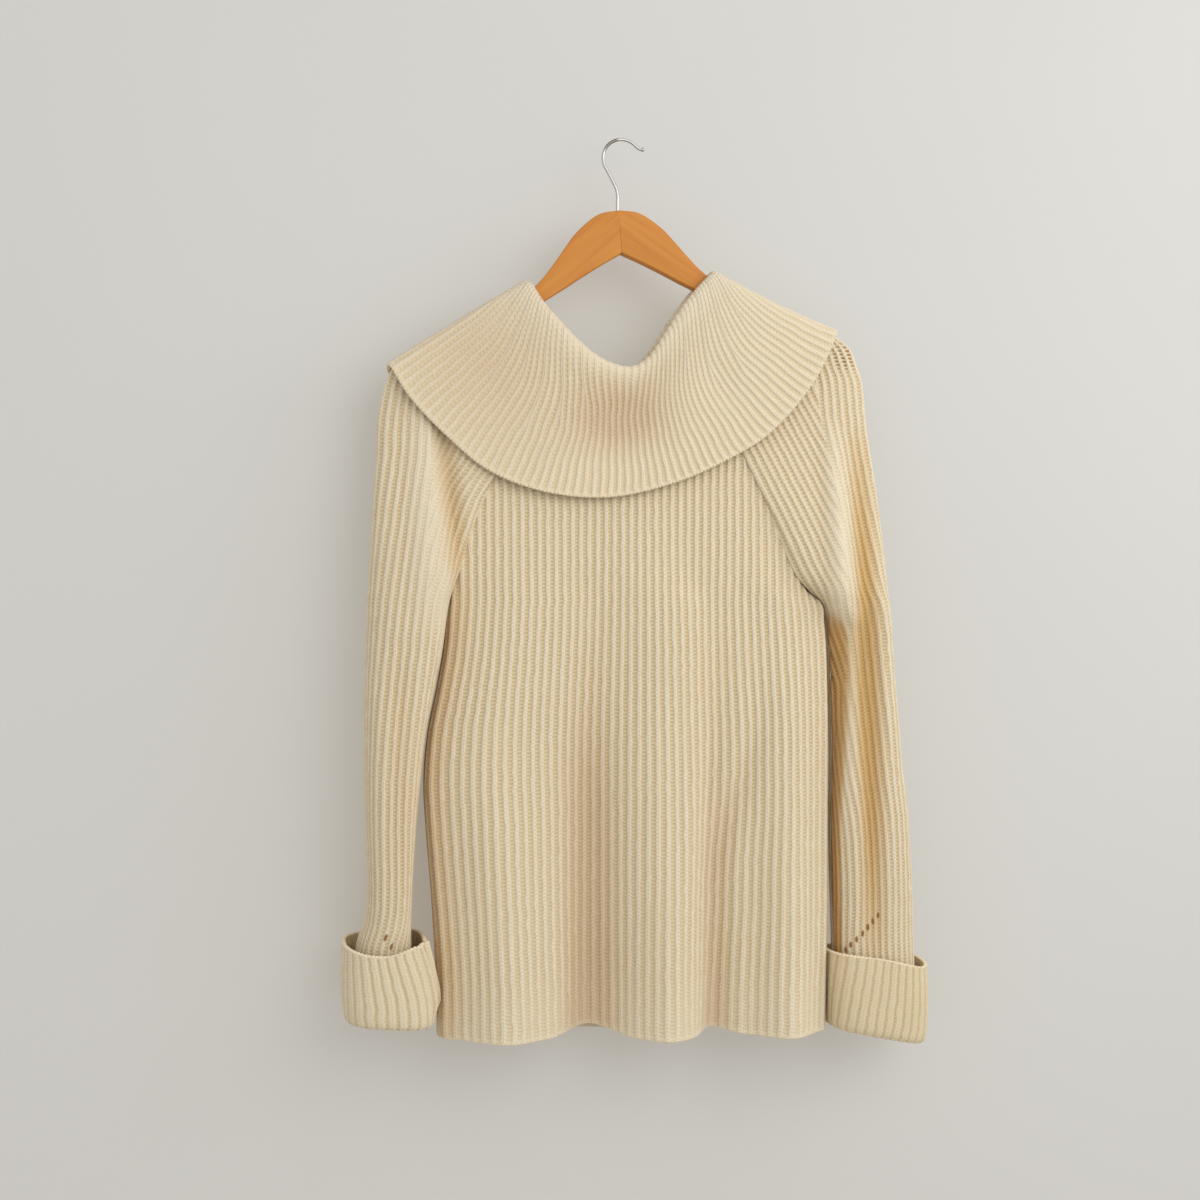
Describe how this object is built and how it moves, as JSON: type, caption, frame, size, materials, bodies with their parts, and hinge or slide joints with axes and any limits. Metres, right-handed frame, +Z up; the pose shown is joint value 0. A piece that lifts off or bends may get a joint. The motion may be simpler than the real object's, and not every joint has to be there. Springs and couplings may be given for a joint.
{
  "type": "cowl neck sweater on a hanger",
  "caption": "Raglan cowl neck sweater in thick rib knit with turned-back cuffs, hanging on a mitred wooden hanger with a wire hook.",
  "frame": {"origin": "inside top of the hanger's hook, where the rail bears", "axes": "+Z up; +X along the hanger's arms, to the right as seen from the front; -Y is the front of the sweater"},
  "size_m": [0.5811, 0.0956, 0.8715],
  "materials": {
    "knit": "matte wool rib",
    "hanger_wood": "satin varnish",
    "hook_wire": "polished"
  },
  "bodies": {
    "root": {"front_panel": "knit", "back_panel": "knit", "sleeve_left": "knit", "sleeve_right": "knit", "cuff_left": "knit", "cuff_right": "knit", "cowl_collar": "knit", "hanger_arm_left": "hanger_wood", "hanger_arm_right": "hanger_wood", "hanger_hook": "hook_wire"}
  },
  "joints": []
}
